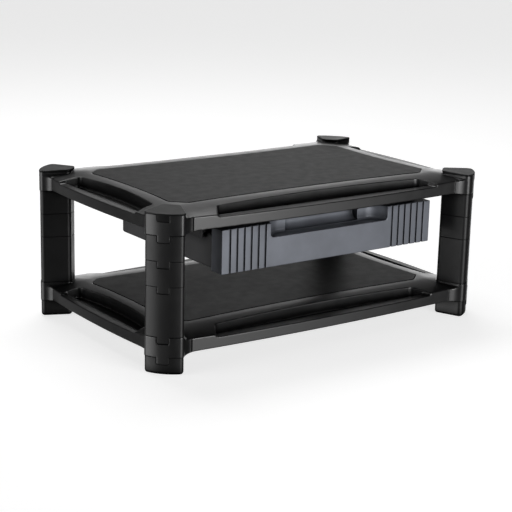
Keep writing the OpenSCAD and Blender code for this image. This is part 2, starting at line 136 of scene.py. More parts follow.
def contour(sdf, xs, ys, zs, mirror_x=False, mirror_y=False):
    """Dual contouring of sdf on the grid. A mirrored axis starts with a line either side of 0."""
    axes = [np.asarray(xs, float), np.asarray(ys, float), np.asarray(zs, float)]
    values = sdf(axes[0][:, None, None], axes[1][None, :, None], axes[2][None, None, :])
    inside = np.broadcast_to(values, [len(a) for a in axes]) < 0
    sizes = [len(a) - 1 for a in axes]
    points, corners = [], []
    for a in range(3):
        lo, hi = [slice(None)] * 3, [slice(None)] * 3
        lo[a], hi[a] = slice(None, -1), slice(1, None)
        at = np.argwhere(inside[tuple(lo)] != inside[tuple(hi)])
        b, c = (a + 1) % 3, (a + 2) % 3
        at = at[(at[:, b] > 0) & (at[:, b] < sizes[b]) & (at[:, c] > 0) & (at[:, c] < sizes[c])]
        p = np.stack([axes[i][at[:, i]] for i in range(3)], 1)
        q = p.copy()
        q[:, a] = axes[a][at[:, a] + 1]
        starts_in = inside[tuple(at.T)]
        for _ in range(HALVINGS):
            m = (p + q) / 2
            same = (sdf(*m.T) < 0) == starts_in
            p = np.where(same[:, None], m, p)
            q = np.where(same[:, None], q, m)
        cells = []
        for db, dc in ((1, 1), (0, 1), (0, 0), (1, 0)):
            cell = at.copy()
            cell[:, b] -= db
            cell[:, c] -= dc
            cells.append((cell[:, 0] * sizes[1] + cell[:, 1]) * sizes[2] + cell[:, 2])
        cells = np.stack(cells, 1)
        cells[~starts_in] = cells[~starts_in][:, ::-1]
        points.append((p + q) / 2)
        corners.append(cells)
    points, corners = np.concatenate(points), np.concatenate(corners)
    normals = gradient(sdf, points)
    normals /= np.linalg.norm(normals, axis=1)[:, None] + 1e-12
    ids, quads = np.unique(corners, return_inverse=True)
    quads = quads.reshape(-1, 4)
    n = len(ids)

    def gather(w):
        return np.bincount(quads.ravel(), weights=np.repeat(w, 4), minlength=n)

    count = gather(np.ones(len(points)))
    mean = np.stack([gather(points[:, i]) for i in range(3)], 1) / count[:, None]
    along = (normals * points).sum(1)
    ata = np.empty((n, 3, 3))
    for i in range(3):
        for j in range(i, 3):
            ata[:, i, j] = ata[:, j, i] = gather(normals[:, i] * normals[:, j])
    atb = np.stack([gather(normals[:, i] * along) for i in range(3)], 1)
    rest = atb - np.einsum("nij,nj->ni", ata, mean)
    w, v = np.linalg.eigh(ata)
    keep = w > FLAT * w[:, 2:]
    inverse = np.where(keep, 1 / np.where(keep, w, 1), 0)
    verts = mean + np.einsum("nij,nj,nkj,nk->ni", v, inverse, v, rest)
    cell = np.stack(np.unravel_index(ids, sizes), 1)
    for i in range(3):
        verts[:, i] = np.clip(verts[:, i], axes[i][cell[:, i]], axes[i][cell[:, i] + 1])
    for _ in range(PULLS):
        g = gradient(sdf, verts)
        step = sdf(*verts.T) / np.maximum((g * g).sum(1), 0.25)
        verts -= np.clip(step, -LONGEST_PULL, LONGEST_PULL)[:, None] * g
    for i, mirrored in ((0, mirror_x), (1, mirror_y)):
        if mirrored:
            verts[cell[:, i] == 0, i] = 0.0
    for i, mirrored in ((0, mirror_x), (1, mirror_y)):
        if mirrored:
            fold = verts[:, i] == 0.0
            other = np.where(fold, np.arange(len(verts)), len(verts) + np.cumsum(~fold) - 1)
            copy = verts[~fold] * np.where(np.arange(3) == i, -1, 1)
            quads = np.concatenate([quads, other[quads][:, ::-1]])
            verts = np.concatenate([verts, copy])
    return verts, quads


def corner_normals(sdf, verts, faces):
    """A normal for each corner of each face, read inside the face, so that creases stay crisp."""
    p = verts[faces]
    towards = p.mean(1, keepdims=True) - p
    towards /= np.linalg.norm(towards, axis=2, keepdims=True) + 1e-9
    g = gradient(sdf, (p + NORMAL_INSET * towards).reshape(-1, 3))
    return g / (np.linalg.norm(g, axis=1)[:, None] + 1e-12)


def solid(sdf, grid, mirror_x=False, mirror_y=False, limit=None):
    """(points, triangles, corner normals) of sdf; limit is the largest number of triangles."""
    verts, quads = contour(sdf, *grid, mirror_x, mirror_y)
    a, b, c, d = (verts[quads[:, i]] for i in range(4))
    short = np.linalg.norm(a - c, axis=1) <= np.linalg.norm(b - d, axis=1)
    tris = np.concatenate([quads[short][:, [0, 1, 2]], quads[short][:, [0, 2, 3]],
                           quads[~short][:, [0, 1, 3]], quads[~short][:, [1, 2, 3]]])
    if limit and len(tris) > limit:
        verts, tris = thinned(verts, tris, limit)
    return verts, tris, corner_normals(sdf, verts, tris).reshape(-1, 3, 3)


def moved(part, turn=None, offset=(0, 0, 0)):
    """The solid turned by a 3x3 matrix, which may mirror it, and shifted by offset."""
    verts, tris, normals = part
    turn = np.eye(3) if turn is None else np.array(turn, float)
    if np.linalg.det(turn) < 0:
        tris, normals = tris[:, ::-1], normals[:, ::-1]
    return verts @ turn.T + np.array(offset, float), tris, normals @ turn.T


def joined(parts):
    starts = np.cumsum([0] + [len(v) for v, _, _ in parts])
    return (np.concatenate([v for v, _, _ in parts]),
            np.concatenate([t + s for (_, t, _), s in zip(parts, starts)]),
            np.concatenate([n for _, _, n in parts]))


def mesh_of(name, part):
    """A Blender mesh in metres with the solid's own normals."""
    verts, tris, normals = part
    mesh = bpy.data.meshes.new(name)
    fill_mesh(mesh, verts * MM, tris)
    mesh.normals_split_custom_set(np.ascontiguousarray(normals).reshape(-1, 3))
    return mesh


def fill_mesh(mesh, verts, tris):
    mesh.vertices.add(len(verts))
    mesh.vertices.foreach_set("co", verts.astype(np.float32).ravel())
    mesh.loops.add(3 * len(tris))
    mesh.loops.foreach_set("vertex_index", tris.astype(np.int32).ravel())
    mesh.polygons.add(len(tris))
    mesh.polygons.foreach_set("loop_start", np.arange(0, 3 * len(tris), 3, dtype=np.int32))
    mesh.update(calc_edges=True)
    mesh.polygons.foreach_set("use_smooth", np.ones(len(mesh.polygons), bool))


def thinned(verts, tris, limit):
    """The same surface with fewer triangles, taken from its flat areas."""
    mesh = bpy.data.meshes.new("thin")
    fill_mesh(mesh, verts, tris)
    obj = bpy.data.objects.new("thin", mesh)
    bpy.context.scene.collection.objects.link(obj)
    mod = obj.modifiers.new("thin", "DECIMATE")
    mod.ratio = limit / len(tris)
    done = obj.evaluated_get(bpy.context.evaluated_depsgraph_get()).to_mesh()
    v = np.empty(3 * len(done.vertices), np.float32)
    done.vertices.foreach_get("co", v)
    t = np.empty(3 * len(done.polygons), np.int32)
    done.polygons.foreach_get("vertices", t)
    bpy.data.objects.remove(obj)
    bpy.data.meshes.remove(mesh)
    return v.reshape(-1, 3).astype(float), t.reshape(-1, 3)


# ---- Levels and places, from the CAD frame -----------------------------------------------

def top_of(node):
    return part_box(node)[1].z / MM


PAD_O = 6.0
pad_lo, pad_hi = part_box("foot_pad_rear_right")
COLUMN_X = (pad_lo.x + pad_hi.x) / 2 / MM - PAD_O / SQRT2
COLUMN_Y = (pad_lo.y + pad_hi.y) / 2 / MM - PAD_O / SQRT2
LOWER_Z = top_of("foot_rear_right")
LONG_Z = top_of("lower_shelf")
MIDDLE_Z = top_of("long_spacer_rear_right")
TOP_Z = top_of("middle_spacer_rear_right")
UPPER_Z = top_of("top_spacer_rear_right")
CAP_Z = top_of("upper_shelf")


# ---- Column section and the parts stacked on it ------------------------------------------

BULGE_O, BULGE_R = -21.3, 47.1
FLANK_O, FLANK_P, FLANK_AT = -0.3804, 0.9248, 12.06
INNER_O = -9.8
OUTER_CORNER, INNER_CORNER = 4.5, 3.0
CORE_O, CORE_P, CORE_FLARE, CORE_SCALE = (-5, 17.5), 5, 0.3111, 0.9549
WALL = 2.4
PLUG_GAP = 0.2
PLUG_H = 8.0
PLUG_FLOOR = 3.0
TAB_W = 12.8
TAB_H = 7.0
TAB_GAP = 0.2
TAB_R = 1.4
TAB_FROM_O = 10
JOIN = 0.6
EDGE = 0.45
BOSS_PROUD = 0.6
FOOT_LIFT = 0.4
FOOT_ROUND = 3.0
PAD_H, PAD_R, PAD_SEAT_R = 2.0, 8.0, 8.2
CAP_PROUD = 0.8
CAP_H, CAP_RIM, CAP_SLOPE, CAP_END_O = 3.0, 1.3, 0.0486, 26.6
CAP_LIP_O, CAP_LIP_P, CAP_LIP_H = -6.0, 8.0, 1.4


def section(o, p):
    """Outline of a column: o runs outwards along the diagonal, p across it."""
    p = np.abs(p)
    bulge = np.hypot(o - BULGE_O, p) - BULGE_R
    flank = FLANK_O * o + FLANK_P * p - FLANK_AT
    return both(both(bulge, flank, OUTER_CORNER), INNER_O - o, INNER_CORNER)


def tab(o, p, z, outline, proud=0.0):
    """Locking tab that hangs below a part, over the notch in the next one."""
    wall = both(outline - proud, -(outline + WALL), 0.4)
    shape = both(np.abs(p) - TAB_W / 2, -z - TAB_H, TAB_R)
    return both(both(wall, both(shape, TAB_FROM_O - o), 0.4), z - JOIN)


def notch(o, p, z):
    shape = both(np.abs(p) - TAB_W / 2 - TAB_GAP, -z - TAB_H - TAB_GAP, TAB_R)
    return both(shape, TAB_FROM_O - o)


def plug(outline, z):
    return both(both(outline + WALL + PLUG_GAP, -PLUG_H - z, 0.6), z - JOIN)


def core(o, p):
    """Opening through the middle of a column part."""
    side = CORE_SCALE * (np.abs(p) - CORE_P - CORE_FLARE * (o - CORE_O[0]))
    return both(span(o, *CORE_O), side, 1.5)


def spacer_sdf(h):
    def sdf(o, p, z):
        outline = section(o, p)
        solid = both(outline, span(z, 0, h), EDGE)
        solid = np.minimum(solid, np.minimum(plug(outline, z), tab(o, p, z, outline)))
        solid = without(solid, both(outline + WALL, PLUG_FLOOR - z, 0.6), 0.4)
        solid = without(solid, core(o, p), 0.3)
        return without(solid, notch(o, p, z - h), 0.35)
    return sdf


def foot_sdf(o, p, z):
    outline = section(o, p)
    solid = both(both(outline, FOOT_LIFT - z, FOOT_ROUND), z - LOWER_Z, EDGE)
    solid = without(solid, both(outline + WALL, PLUG_H + PAD_H - z, 0.6), 0.4)
    solid = without(solid, both(np.hypot(o - PAD_O, p) - PAD_SEAT_R, z - PAD_H), 0.3)
    return without(solid, notch(o, p, z - LOWER_Z), 0.35)


def cap_sdf(o, p, z):
    outline = section(o, p)
    slope = z - CAP_RIM - CAP_SLOPE * (CAP_END_O - o)
    solid = both(both(outline - CAP_PROUD, np.maximum(slope, z - CAP_H), 0.9), -z, 0.25)
    solid = np.minimum(solid, np.minimum(plug(outline, z), tab(o, p, z, outline, CAP_PROUD)))
    lip = both(both(o - CAP_LIP_O, np.abs(p) - CAP_LIP_P, 2.0), z - CAP_LIP_H, 0.4)
    solid = without(solid, lip, 0.35)
    return without(solid, both(core(o, p), z), 0.3)


def column_grid(top, fine_top=8.5):
    across = lines((-0.4, 0.4, 0.8), (0.4, 21.6, 0.8))
    along = lines((-11.6, 27.4, 0.8))
    if top > 12:
        up = lines((-8.8, 1.2, 0.8), (1.2, top - fine_top, 2.4), (top - fine_top, top + 0.8, 0.8))
    else:
        up = lines((-8.8, -4.0, 0.8), (-4.0, top + 0.8, 0.5))
    return along, across, up


# ---- Shelf ---------------------------------------------------------------------------------

RAIL_X, RAIL_Y = 214.8, 139.2
RAIL_RX, RAIL_RY = bow_radius(90, 3.0), bow_radius(172, 5.2)
RAIL_CUT = RAIL_X + RAIL_Y - 22
RAIL_BOTTOM, RAIL_TOP, RAIL_WALL, RAIL_SKIN = 2.0, 13.4, 2.4, 2.0
RAIL_SWEEP = 16.0
BLEND_Y, BLEND_Y_R = (-14.16, 40.7), 18.0
BLEND_X, BLEND_X_R = (-14.16, 35.2), 14.4
BLEND_BOSS, BLEND_OVER = (1.84, 24.04), 8.0
DECK_TOP, DECK_T = 21.4, 3.4
BOSS_H = 21.4
EDGE_X, EDGE_Y = 188.5, 114.0
SLOPE_FROM, SLOPE_Y, SLOPE_X, SLOPE_ROUND = 1.0, 0.264, 0.275, 6.0
POCKET_X, POCKET_Y = 135.0, 77.0
POCKET_W_X, POCKET_W_Y = 16.5, 13.0
POCKET_FLARE_X, POCKET_FLARE_Y = 3.0, 7.5
POCKET_FLOOR, POCKET_FLOOR_T = 7.0, 2.0
POCKET_BOW_X, POCKET_BOW_Y = 7.0, 6.0
POCKET_RX, POCKET_RY = bow_radius(POCKET_Y, POCKET_BOW_X), bow_radius(POCKET_X, POCKET_BOW_Y)
MAT_CORNER, MAT_CUT = (172.4, 80.3), (156.3, 95.0)
MAT_BOW_X, MAT_BOW_Y = 4.4, 5.3
MAT_RX, MAT_RY = bow_radius(MAT_CORNER[1], MAT_BOW_X), bow_radius(MAT_CUT[0], MAT_BOW_Y)
mat_lo, mat_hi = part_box("upper_mat")
MAT_BOTTOM, MAT_T, MAT_GAP = DECK_TOP - 1.0, (mat_hi.z - mat_lo.z) / MM, 0.3
SCREW_X, SCREW_YS = 152.9, (0.0, 68.0)
POST_R, POST_BOTTOM, PILOT_R, PILOT_TOP, HOLE_R = 4.0, 5.0, 1.45, 14.0, 1.75
HOLLOW_X, HOLLOW_Y = 178, 103
CHANNEL_X, CHANNEL_Y = 160.0, 92.0
UNDER_Y, UNDER_X = (-130, 130, 108.2, 124.7), (182, 203, -76, 76)
RIB_XS, RIB_YS, RIB_T, RIB_DEPTH = (0.0, 50.0, 100.0, 150.0), (0.0, 68.0), 1.8, 7.0


def mat_outline(x, y):
    side = MAT_RX - np.hypot(x - (MAT_CORNER[0] - MAT_BOW_X + MAT_RX), y)
    end = MAT_RY - np.hypot(x, y - (MAT_CUT[1] - MAT_BOW_Y + MAT_RY))
    chamfer = line(x, y, MAT_CORNER, MAT_CUT)
    return both(both(side, chamfer, 3.0), end, 3.0)


def mat_sdf(x, y, z):
    outline = mat_outline(np.abs(x), np.abs(y)) + MAT_GAP
    return both(outline, span(z, MAT_BOTTOM, MAT_BOTTOM + MAT_T), 0.6)


def blend(u, v, centre, r, boss):
    """Wedge that fills the corner between a rail and a socket up to an arc about centre."""
    du, dv = u - centre[0], v - centre[1]
    n = math.hypot(boss[0] - centre[0], boss[1] - centre[1])
    bu, bv = (boss[0] - centre[0]) / n, (boss[1] - centre[1]) / n
    wedge = np.maximum(r - np.hypot(du, dv), np.maximum(-du, bu * dv - bv * du))
    return np.maximum(wedge, np.maximum(u - boss[0], boss[1] - BLEND_OVER - v))


def shelf_sdf(x, y, z):
    x, y = np.abs(x), np.abs(y)
    o = (x - COLUMN_X + y - COLUMN_Y) / SQRT2
    p = (y - COLUMN_Y - x + COLUMN_X) / SQRT2
    outline = section(o, p)
    face_y = np.hypot(x, y + RAIL_RY - RAIL_Y) - RAIL_RY
    face_x = np.hypot(x + RAIL_RX - RAIL_X, y) - RAIL_RX
    plan = both(both(face_y, face_x, 3.0), (x + y - RAIL_CUT) / SQRT2, 3.0)
    plan = np.minimum(plan, blend(x - COLUMN_X, y - COLUMN_Y, BLEND_Y, BLEND_Y_R, BLEND_BOSS))
    plan = np.minimum(plan, blend(y - COLUMN_Y, x - COLUMN_X, BLEND_X, BLEND_X_R, BLEND_BOSS))
    # Top: level inside, sloping to the rails
    slope_y = DECK_TOP - SLOPE_Y * (y - EDGE_Y - SLOPE_FROM)
    slope_x = DECK_TOP - SLOPE_X * (x - EDGE_X - SLOPE_FROM)
    top = both(z - DECK_TOP, (z - slope_y) * math.cos(math.atan(SLOPE_Y)), SLOPE_ROUND)
    top = both(top, (z - slope_x) * math.cos(math.atan(SLOPE_X)), SLOPE_ROUND)
    # The sloping top sweeps up to the rim of the socket
    boss_side = outline - BOSS_PROUD
    height = np.minimum(np.minimum(slope_y, slope_x), DECK_TOP)
    top = either(top, boss_side, np.clip(BOSS_H - height, 0.8, 6.0))
    body = both(plan, top, 1.3)
    # Pockets, and the lower rail top beside each pocket
    wall_y = np.hypot(x, y - (EDGE_Y - POCKET_BOW_Y + POCKET_RY)) - POCKET_RY
    end_y = line(x, y, (POCKET_X, EDGE_Y), (POCKET_X + POCKET_FLARE_Y, EDGE_Y + POCKET_W_Y))
    pocket_y = both(both(wall_y, end_y, 3.0), y - EDGE_Y - POCKET_W_Y, 2.0)
    wall_x = np.hypot(x - (EDGE_X - POCKET_BOW_X + POCKET_RX), y) - POCKET_RX
    end_x = line(x, y, (EDGE_X + POCKET_W_X, POCKET_Y + POCKET_FLARE_X), (EDGE_X, POCKET_Y))
    pocket_x = both(both(wall_x, end_x, 3.0), x - EDGE_X - POCKET_W_X, 2.0)
    low_y = both(both(EDGE_Y + POCKET_W_Y - 1.0 - y, end_y), RAIL_TOP - z, 3.0)
    low_x = both(both(EDGE_X + POCKET_W_X - 1.0 - x, end_x), RAIL_TOP - z, 3.0)
    body = without(body, low_y, 1.2)
    body = without(body, low_x, 1.2)
    body = without(body, both(pocket_y, POCKET_FLOOR - z, 1.6), 0.9)
    body = without(body, both(pocket_x, POCKET_FLOOR - z, 1.6), 0.9)
    body = without(body, both(mat_outline(x, y), MAT_BOTTOM - z), 0.5)
    # Hollow underside with ribs, and the channels under the rails and pockets
    rib = np.minimum(nearest(x, RIB_XS), nearest(y, RIB_YS)) - RIB_T / 2
    hollow = box2(x, y, -HOLLOW_X, HOLLOW_X, -HOLLOW_Y, HOLLOW_Y, 4.0)
    hollow = both(hollow, z - DECK_TOP + DECK_T, 1.5)
    rib = both(rib, DECK_TOP - DECK_T - RIB_DEPTH - z, 0.5)
    hollow = without(hollow, rib, 0.6)
    screw_r = np.hypot(x - SCREW_X, nearest(y, SCREW_YS))
    hollow = without(hollow, both(screw_r - POST_R, POST_BOTTOM - z, 0.5), 0.8)
    rail_y = both(face_y + RAIL_WALL, EDGE_Y + POCKET_W_Y + 2.0 - y)
    rail_x = both(face_x + RAIL_WALL, EDGE_X + POCKET_W_X + 2.0 - x)
    rails = np.minimum(both(rail_y, x - CHANNEL_X, 1.5), both(rail_x, y - CHANNEL_Y, 1.5))
    channel = both(rails, z - RAIL_TOP + RAIL_SKIN, 1.0)
    under = np.minimum(box2(x, y, *UNDER_Y, 2.0), box2(x, y, *UNDER_X, 2.0))
    under = both(under, z - POCKET_FLOOR + POCKET_FLOOR_T, 1.0)
    sweep = np.clip(1 - boss_side / RAIL_SWEEP, 0, 1)
    body = both(body, RAIL_BOTTOM * (1 - sweep * sweep) - z, 0.7)
    body = without(body, hollow, 0.4)
    body = without(body, np.minimum(channel, under), 0.4)
    boss = both(boss_side, span(z, 0, BOSS_H), EDGE)
    body = np.minimum(both(body, span(z, 0, BOSS_H), 0.4), boss)
    body = np.minimum(body, np.minimum(plug(outline, z), tab(o, p, z, outline, BOSS_PROUD)))
    body = without(body, both(outline + WALL, PLUG_FLOOR - z, 0.6), 0.4)
    body = without(body, core(o, p), 0.3)
    body = without(body, notch(o, p, z - BOSS_H), 0.35)
    return without(body, both(screw_r - PILOT_R, z - PILOT_TOP), 0.3)


def mat_grid():
    return (lines((-0.4, 0.4, 0.8), (0.4, 150.0, 4.0), (150.0, 174.4, 0.9)),
            lines((-0.4, 0.4, 0.8), (0.4, 74.0, 4.0), (74.0, 96.2, 0.9)),
            lines((MAT_BOTTOM - 0.4, MAT_BOTTOM + MAT_T + 0.4, 0.4)))


def shelf_grid():
    xs = lines((-0.4, 0.4, 0.8), (0.4, 128.0, 6.0), (128.0, 132.0, 2.0), (132.0, 182.0, 1.1),
               (182.0, 220.2, 0.9))
    xs = with_ribs(xs, RIB_XS[1:3], RIB_T / 2)
    xs = with_ribs(xs, RIB_XS[3:], RIB_T / 2 - 0.6)
    ys = lines((-0.4, 0.4, 0.8), (0.4, 5.2, 0.9), (5.2, 62.0, 5.6), (62.0, 66.0, 0.9),
               (66.0, 73.6, 0.9), (73.6, 84.0, 1.4), (84.0, 142.0, 0.95))
    zs = np.unique(np.concatenate([
        lines((-8.8, 1.0, 0.95), (1.0, 2.8, 0.6)), lines((3.9, 8.2, 0.86), (9.3, 12.0, 1.1)),
        lines((12.0, 22.2, 0.68))]))
    return xs, ys, zs


# ---- Drawer --------------------------------------------------------------------------------

front_lo, front_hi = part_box("drawer_front")
tray_lo, tray_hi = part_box("drawer_tray")
FRONT_W = front_hi.x / MM
FRONT_Y = front_lo.y / MM
FRONT_BACK = tray_lo.y / MM
FRONT_Z0, FRONT_Z1 = front_lo.z / MM, front_hi.z / MM
FRONT_SKIN = 2.4
GROOVE_PITCH, GROOVE_W, GROOVE_D, GROOVES = 8.9, 2.2, 1.8, 6
GROOVE_FIRST = FRONT_W - 10.2
RECESS_HALF, RECESS_DEPTH, RECESS_H = 79.0, 16.6, 15.2
RECESS_Z = FRONT_Z1 - RECESS_H
RECESS_Y = FRONT_Y + RECESS_DEPTH
SCOOP_HALF, SCOOP_R = 49.0, 9.0
FRONT_SCREW_XS = (0.0, 110.0)
FRONT_SCREW_Z = FRONT_Z0 + 14.0
LINING_FROM, FRONT_PILOT_DEPTH = 1.5, 12.0


def recess(x, y, z, back):
    """The hand recess, or its lining with back as the lining's thickness."""
    plan = both(x - RECESS_HALF - back, y - RECESS_Y - back, 20.0 + back)
    return both(plan, RECESS_Z - back - z, 3.5)


def scoop(x, y, z, back):
    """The finger scoop behind the recess, or its lining."""
    centre = RECESS_Z + SCOOP_R
    bowl = np.where(z < centre, np.hypot(np.maximum(y - RECESS_Y, -2.0), z - centre) - SCOOP_R,
                    y - RECESS_Y - SCOOP_R)
    return both(both(bowl - back, x - SCOOP_HALF - back, 1.5), RECESS_Y - 1.0 - y)


def front_screw_radius(x, z):
    return np.hypot(nearest(x, FRONT_SCREW_XS), z - FRONT_SCREW_Z)


def drawer_front_sdf(x, y, z):
    x = np.abs(x)
    block = both(box2(x, z, -FRONT_W, FRONT_W, FRONT_Z0, FRONT_Z1, 0.9), FRONT_Y - y, 0.7)
    block = both(block, y - FRONT_BACK, 0.4)
    inner = FRONT_W - FRONT_SKIN
    shell = box2(x, z, -inner, inner, FRONT_Z0 + FRONT_SKIN, FRONT_Z1 - FRONT_SKIN, 1.0)
    body = without(block, both(shell, FRONT_Y + FRONT_SKIN + GROOVE_D - y), 0.4)
    lining = both(recess(x, y, z, FRONT_SKIN), both(z - FRONT_Z1, y - FRONT_BACK - 1.0), 0.5)
    lining = both(lining, FRONT_Y + LINING_FROM - y)
    bowl = both(scoop(x, y, z, FRONT_SKIN), z - FRONT_Z1, 0.5)
    post = both(front_screw_radius(x, z) - POST_R, span(y, FRONT_Y + LINING_FROM, FRONT_BACK))
    body = np.minimum(body, np.minimum(lining, np.minimum(bowl, post)))
    hollow = np.minimum(recess(x, y, z, 0.0), scoop(x, y, z, 0.0))
    body = without(body, hollow, 0.7)
    number = np.clip(np.round((GROOVE_FIRST - x) / GROOVE_PITCH), 0, GROOVES - 1)
    groove = np.abs(x - GROOVE_FIRST + number * GROOVE_PITCH) - GROOVE_W / 2
    body = without(body, both(groove, y - FRONT_Y - GROOVE_D, 0.3), 0.4)
    pilot = both(front_screw_radius(x, z) - PILOT_R, FRONT_BACK - FRONT_PILOT_DEPTH - y)
    return without(body, pilot, 0.2)


def drawer_front_grid():
    xs = lines((-0.4, 0.4, 0.8), (0.4, 5.2, 0.8), (5.2, 45.2, 4.0), (45.2, 84.0, 0.9),
               (84.0, 141.6, 0.55))
    ys = lines((FRONT_Y - 0.9, FRONT_Y + 6.1, 0.5), (FRONT_Y + 6.1, FRONT_BACK + 11.0, 0.9))
    zs = lines((FRONT_Z0 - 0.8, FRONT_Z0 + 4.0, 0.8), (FRONT_Z0 + 4.0, FRONT_Z0 + 9.0, 2.5),
               (FRONT_Z0 + 9.0, FRONT_Z0 + 19.0, 0.9), (FRONT_Z0 + 19.0, RECESS_Z - 4.0, 2.2),
               (RECESS_Z - 4.0, FRONT_Z1 + 0.8, 0.75))
    return xs, ys, zs


TRAY_HALF = FRONT_W - 1.7
TRAY_Y0, TRAY_Y1 = tray_lo.y / MM, tray_hi.y / MM
TRAY_Z0 = tray_lo.z / MM
TRAY_Z1 = FRONT_Z0 + 37.7
TRAY_WALL = 2.0
FLANGE_HALF, FLANGE_T = tray_hi.x / MM, 2.0
runner_lo, runner_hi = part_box("runner_right")
RUNNER_Y0, RUNNER_Y1 = runner_lo.y / MM, runner_hi.y / MM
STOP_LEN = 4.0
TRAVEL = frame["joints"][0]["range_m"][1] / MM
LUG_Y = RUNNER_Y0 + STOP_LEN + TRAVEL + 1.0


def drawer_tray_sdf(x, y, z):
    x = np.abs(x)
    plan = both(x - TRAY_HALF, y - TRAY_Y1, 7.0)
    plan = both(plan, TRAY_Y0 - y, 1.5)
    body = both(both(plan, TRAY_Z0 - z, 2.5), z - TRAY_Z1, 0.4)
    flange = both(x - FLANGE_HALF, TRAY_HALF - 1.0 - x)
    flange = both(span(z, TRAY_Z1 - FLANGE_T, TRAY_Z1), flange, 0.4)
    flange = both(flange, span(y, RUNNER_Y0 + 6.0, TRAY_Y1), 0.5)
    lug = both(span(y, LUG_Y, LUG_Y + STOP_LEN), span(z, TRAY_Z1 - 0.6, TRAY_Z1 + 2.8), 0.5)
    lug = both(lug, span(x, TRAY_HALF, FLANGE_HALF), 0.4)
    body = np.minimum(either(body, flange, 0.6), lug)
    room = both(both(x - TRAY_HALF + TRAY_WALL, y - TRAY_Y1 + TRAY_WALL, 5.0),
                TRAY_Y0 + TRAY_WALL - y, 1.5)
    body = without(body, both(room, TRAY_Z0 + TRAY_WALL - z, 3.0), 0.6)
    low = both(both(x - SCOOP_HALF - 6.0, RECESS_Z - 4.4 - z, 3.0), y - TRAY_Y0 - 5.0)
    body = without(body, low, 0.4)
    hole = both(front_screw_radius(x, z) - HOLE_R, y - TRAY_Y0 - 5.0)
    return without(body, hole, 0.2)


def drawer_tray_grid():
    xs = lines((-0.4, 0.4, 0.8), (0.4, 4.4, 1.0), (4.4, 48.4, 8.8), (48.4, 58.0, 1.2),
               (58.0, 106.0, 8.0), (106.0, 114.0, 0.9), (114.0, 128.0, 3.5), (128.0, 143.2, 0.75))
    ys = lines((TRAY_Y0 - 0.8, TRAY_Y0 + 5.0, 0.7), (TRAY_Y0 + 5.0, RUNNER_Y0 + 4.0, 1.6),
               (RUNNER_Y0 + 4.0, RUNNER_Y0 + 8.0, 0.7), (RUNNER_Y0 + 8.0, LUG_Y - 1.4, 9.0),
               (LUG_Y - 1.4, LUG_Y + STOP_LEN + 1.4, 0.7),
               (LUG_Y + STOP_LEN + 1.4, TRAY_Y1 - 9.0, 3.0), (TRAY_Y1 - 9.0, TRAY_Y1 + 0.8, 0.8))
    zs = lines((TRAY_Z0 - 0.8, TRAY_Z0 + 7.2, 0.7), (TRAY_Z0 + 7.2, FRONT_SCREW_Z - 3.2, 1.0),
               (FRONT_SCREW_Z - 3.2, FRONT_SCREW_Z + 3.2, 0.8),
               (FRONT_SCREW_Z + 3.2, RECESS_Z - 8.0, 2.0), (RECESS_Z - 8.0, TRAY_Z1 + 3.4, 0.7))
    return xs, ys, zs


# ---- Runners, screws and pads --------------------------------------------------------------

RUNNER_X = FLANGE_HALF + 0.4
RUNNER_T = 2.0
RUNNER_TOP = runner_hi.z / MM
CHANNEL_Z = TRAY_Z1 - FLANGE_T - 0.4
CHANNEL_H = 5.6
LIP_X = RUNNER_X - 3.4
FLANGE_X = runner_hi.x / MM


def runner_sdf(x, y, z):
    x = np.abs(x)
    along = span(y, RUNNER_Y0, RUNNER_Y1)
    x1 = RUNNER_X + RUNNER_T
    channel_top = CHANNEL_Z + CHANNEL_H + RUNNER_T
    body = box2(x, z, RUNNER_X, x1, CHANNEL_Z - RUNNER_T, RUNNER_TOP, 0.4)
    lips = np.minimum(box2(x, z, LIP_X, x1, CHANNEL_Z - RUNNER_T, CHANNEL_Z, 0.4),
                      box2(x, z, LIP_X, x1, channel_top - RUNNER_T, channel_top, 0.4))
    seat = box2(x, z, RUNNER_X, FLANGE_X, RUNNER_TOP - RUNNER_T, RUNNER_TOP, 0.4)
    body = either(body, either(lips, seat, 0.0), 0.5)
    body = both(body, along, 0.4)
    stop = both(span(z, TRAY_Z1 + 0.6, channel_top), span(y, RUNNER_Y0, RUNNER_Y0 + STOP_LEN), 0.4)
    rear = both(span(z, CHANNEL_Z - RUNNER_T, channel_top),
                span(y, RUNNER_Y1 - 1.5, RUNNER_Y1), 0.4)
    ends = both(np.minimum(stop, rear), span(x, LIP_X, x1), 0.3)
    body = np.minimum(body, ends)
    hole = np.hypot(x - SCREW_X, nearest(np.abs(y), SCREW_YS)) - HOLE_R
    return without(body, both(hole, RUNNER_TOP - 5.0 - z), 0.2)


def runner_grid():
    xs = lines((LIP_X - 0.6, RUNNER_X + 4.0, 0.55), (RUNNER_X + 4.0, SCREW_X - 3.0, 0.9),
               (SCREW_X - 3.0, SCREW_X + 3.0, 0.6), (SCREW_X + 3.0, FLANGE_X + 0.7, 0.7))
    edge = SCREW_YS[1] - 3.0
    ys = lines((RUNNER_Y0 - 0.6, RUNNER_Y0 + 6.0, 0.6), (RUNNER_Y0 + 6.0, -edge - 6.0, 5.0),
               (-edge - 6.0, -edge, 0.6), (-edge, -3.0, 8.0), (-3.0, 3.0, 0.6),
               (3.0, edge, 8.0), (edge, edge + 6.0, 0.6), (edge + 6.0, RUNNER_Y1 + 0.6, 0.4))
    zs = lines((CHANNEL_Z - RUNNER_T - 0.6, RUNNER_TOP + 0.6, 0.55))
    return xs, ys, zs


SHANK_R, HEAD_R, HEAD_H, DOME_R, THREAD_PITCH = 1.4, 3.2, 2.0, 4.2, 1.1


